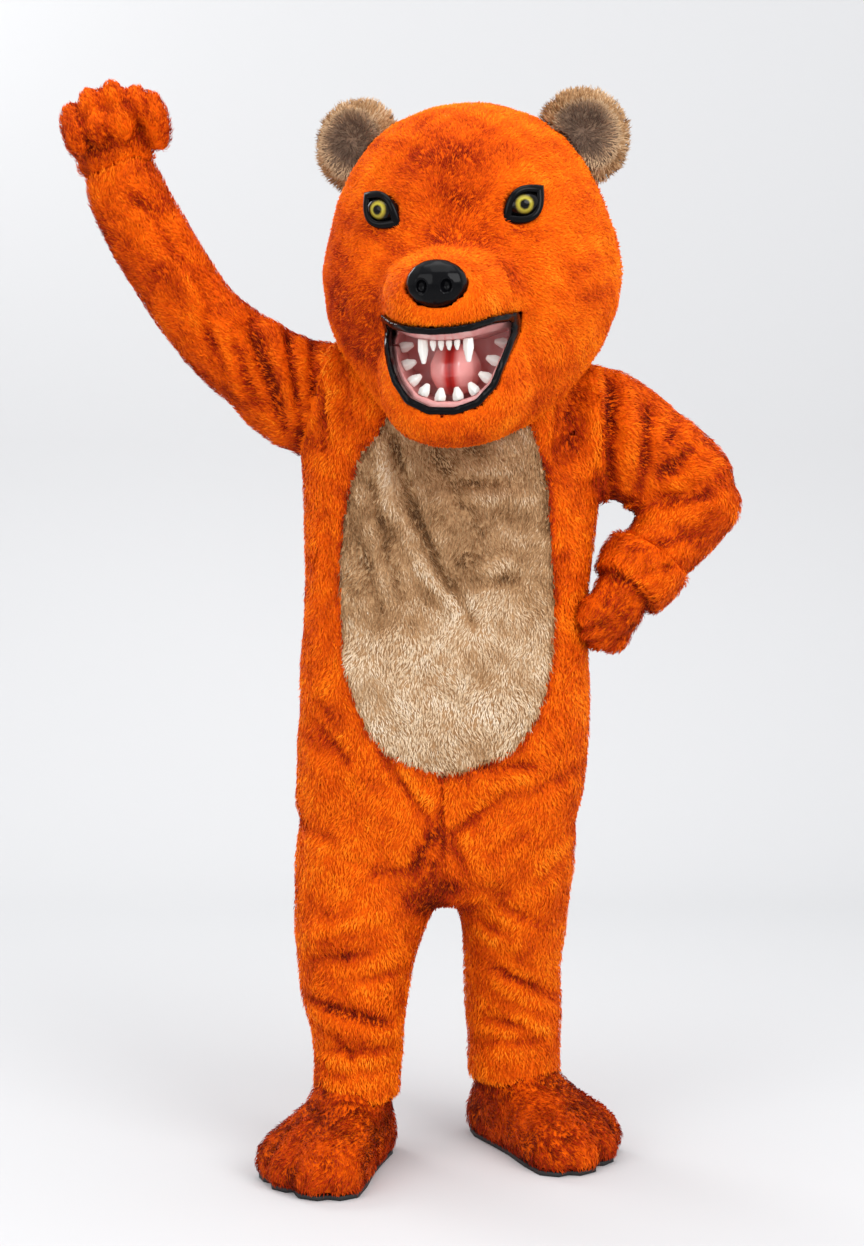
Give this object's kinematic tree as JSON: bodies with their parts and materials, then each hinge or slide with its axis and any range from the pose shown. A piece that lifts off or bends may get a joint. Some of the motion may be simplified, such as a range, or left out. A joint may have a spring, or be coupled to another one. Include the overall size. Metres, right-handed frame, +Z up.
{
  "type": "bear mascot costume",
  "caption": "Fur bear costume of suit, hollow open-mouthed head, gloves and boots, worn pose with one fist raised and a hand on the hip.",
  "frame": {"origin": "base of the neck on the body line, where the wearer carries the costume, 1423 mm above the floor that the soles stand on", "axes": "+Z up, -Y the way the wearer faces, +X to the wearer's left"},
  "size_m": [1.2088, 0.6341, 1.9048],
  "materials": {
    "orange_fur": "dense short-pile orange faux fur, matt, with a nap that brushes lighter and darker",
    "tan_fur": "short-pile tan faux fur, matt",
    "dark_fur": "short-pile grey-brown faux fur, matt",
    "black_gloss": "glossy black moulded vinyl",
    "eye_gloss": "glossy yellow-green eye with a dark pupil",
    "tooth_ivory": "white moulded plastic, satin gloss",
    "gum_pink": "pink moulded latex, wet-looking",
    "tongue_pink": "pink moulded latex, wet-looking",
    "black_rubber": "thin black non-slip sole",
    "zip_orange": "woven orange zip tape with the teeth between its halves"
  },
  "bodies": {
    "root": {"head_face": "orange_fur", "head_back": "orange_fur", "muzzle": "orange_fur", "lower_jaw": "orange_fur", "nose": "black_gloss", "lip_rim": "black_gloss", "mouth_lining": "gum_pink", "upper_gum": "gum_pink", "lower_gum": "gum_pink", "tongue": "tongue_pink", "ear_right": "tan_fur", "ear_inner_right": "dark_fur", "eyeball_right": "eye_gloss", "eyelid_right": "black_gloss", "ear_left": "tan_fur", "ear_inner_left": "dark_fur", "eyeball_left": "eye_gloss", "eyelid_left": "black_gloss", "tooth_canine_right": "tooth_ivory", "tooth_canine_left": "tooth_ivory", "tooth_upper_1": "tooth_ivory", "tooth_upper_2": "tooth_ivory", "tooth_upper_3": "tooth_ivory", "tooth_upper_4": "tooth_ivory", "tooth_lower_1": "tooth_ivory", "tooth_lower_2": "tooth_ivory", "tooth_lower_3": "tooth_ivory", "tooth_lower_4": "tooth_ivory", "tooth_lower_5": "tooth_ivory", "tooth_lower_6": "tooth_ivory", "tooth_lower_7": "tooth_ivory", "tooth_lower_8": "tooth_ivory", "tooth_lower_9": "tooth_ivory", "tooth_lower_10": "tooth_ivory", "belly_panel": "tan_fur", "sleeve_right": "orange_fur", "sleeve_left": "orange_fur", "suit_front_right": "orange_fur", "leg_front_right": "orange_fur", "suit_back_right": "orange_fur", "leg_back_right": "orange_fur", "suit_front_left": "orange_fur", "leg_front_left": "orange_fur", "suit_back_left": "orange_fur", "leg_back_left": "orange_fur", "back_zip": "zip_orange", "glove_palm_right": "orange_fur", "glove_back_right": "orange_fur", "boot_right": "orange_fur", "boot_sole_right": "black_rubber", "glove_palm_left": "orange_fur", "glove_back_left": "orange_fur", "boot_left": "orange_fur", "boot_sole_left": "black_rubber"}
  },
  "joints": []
}
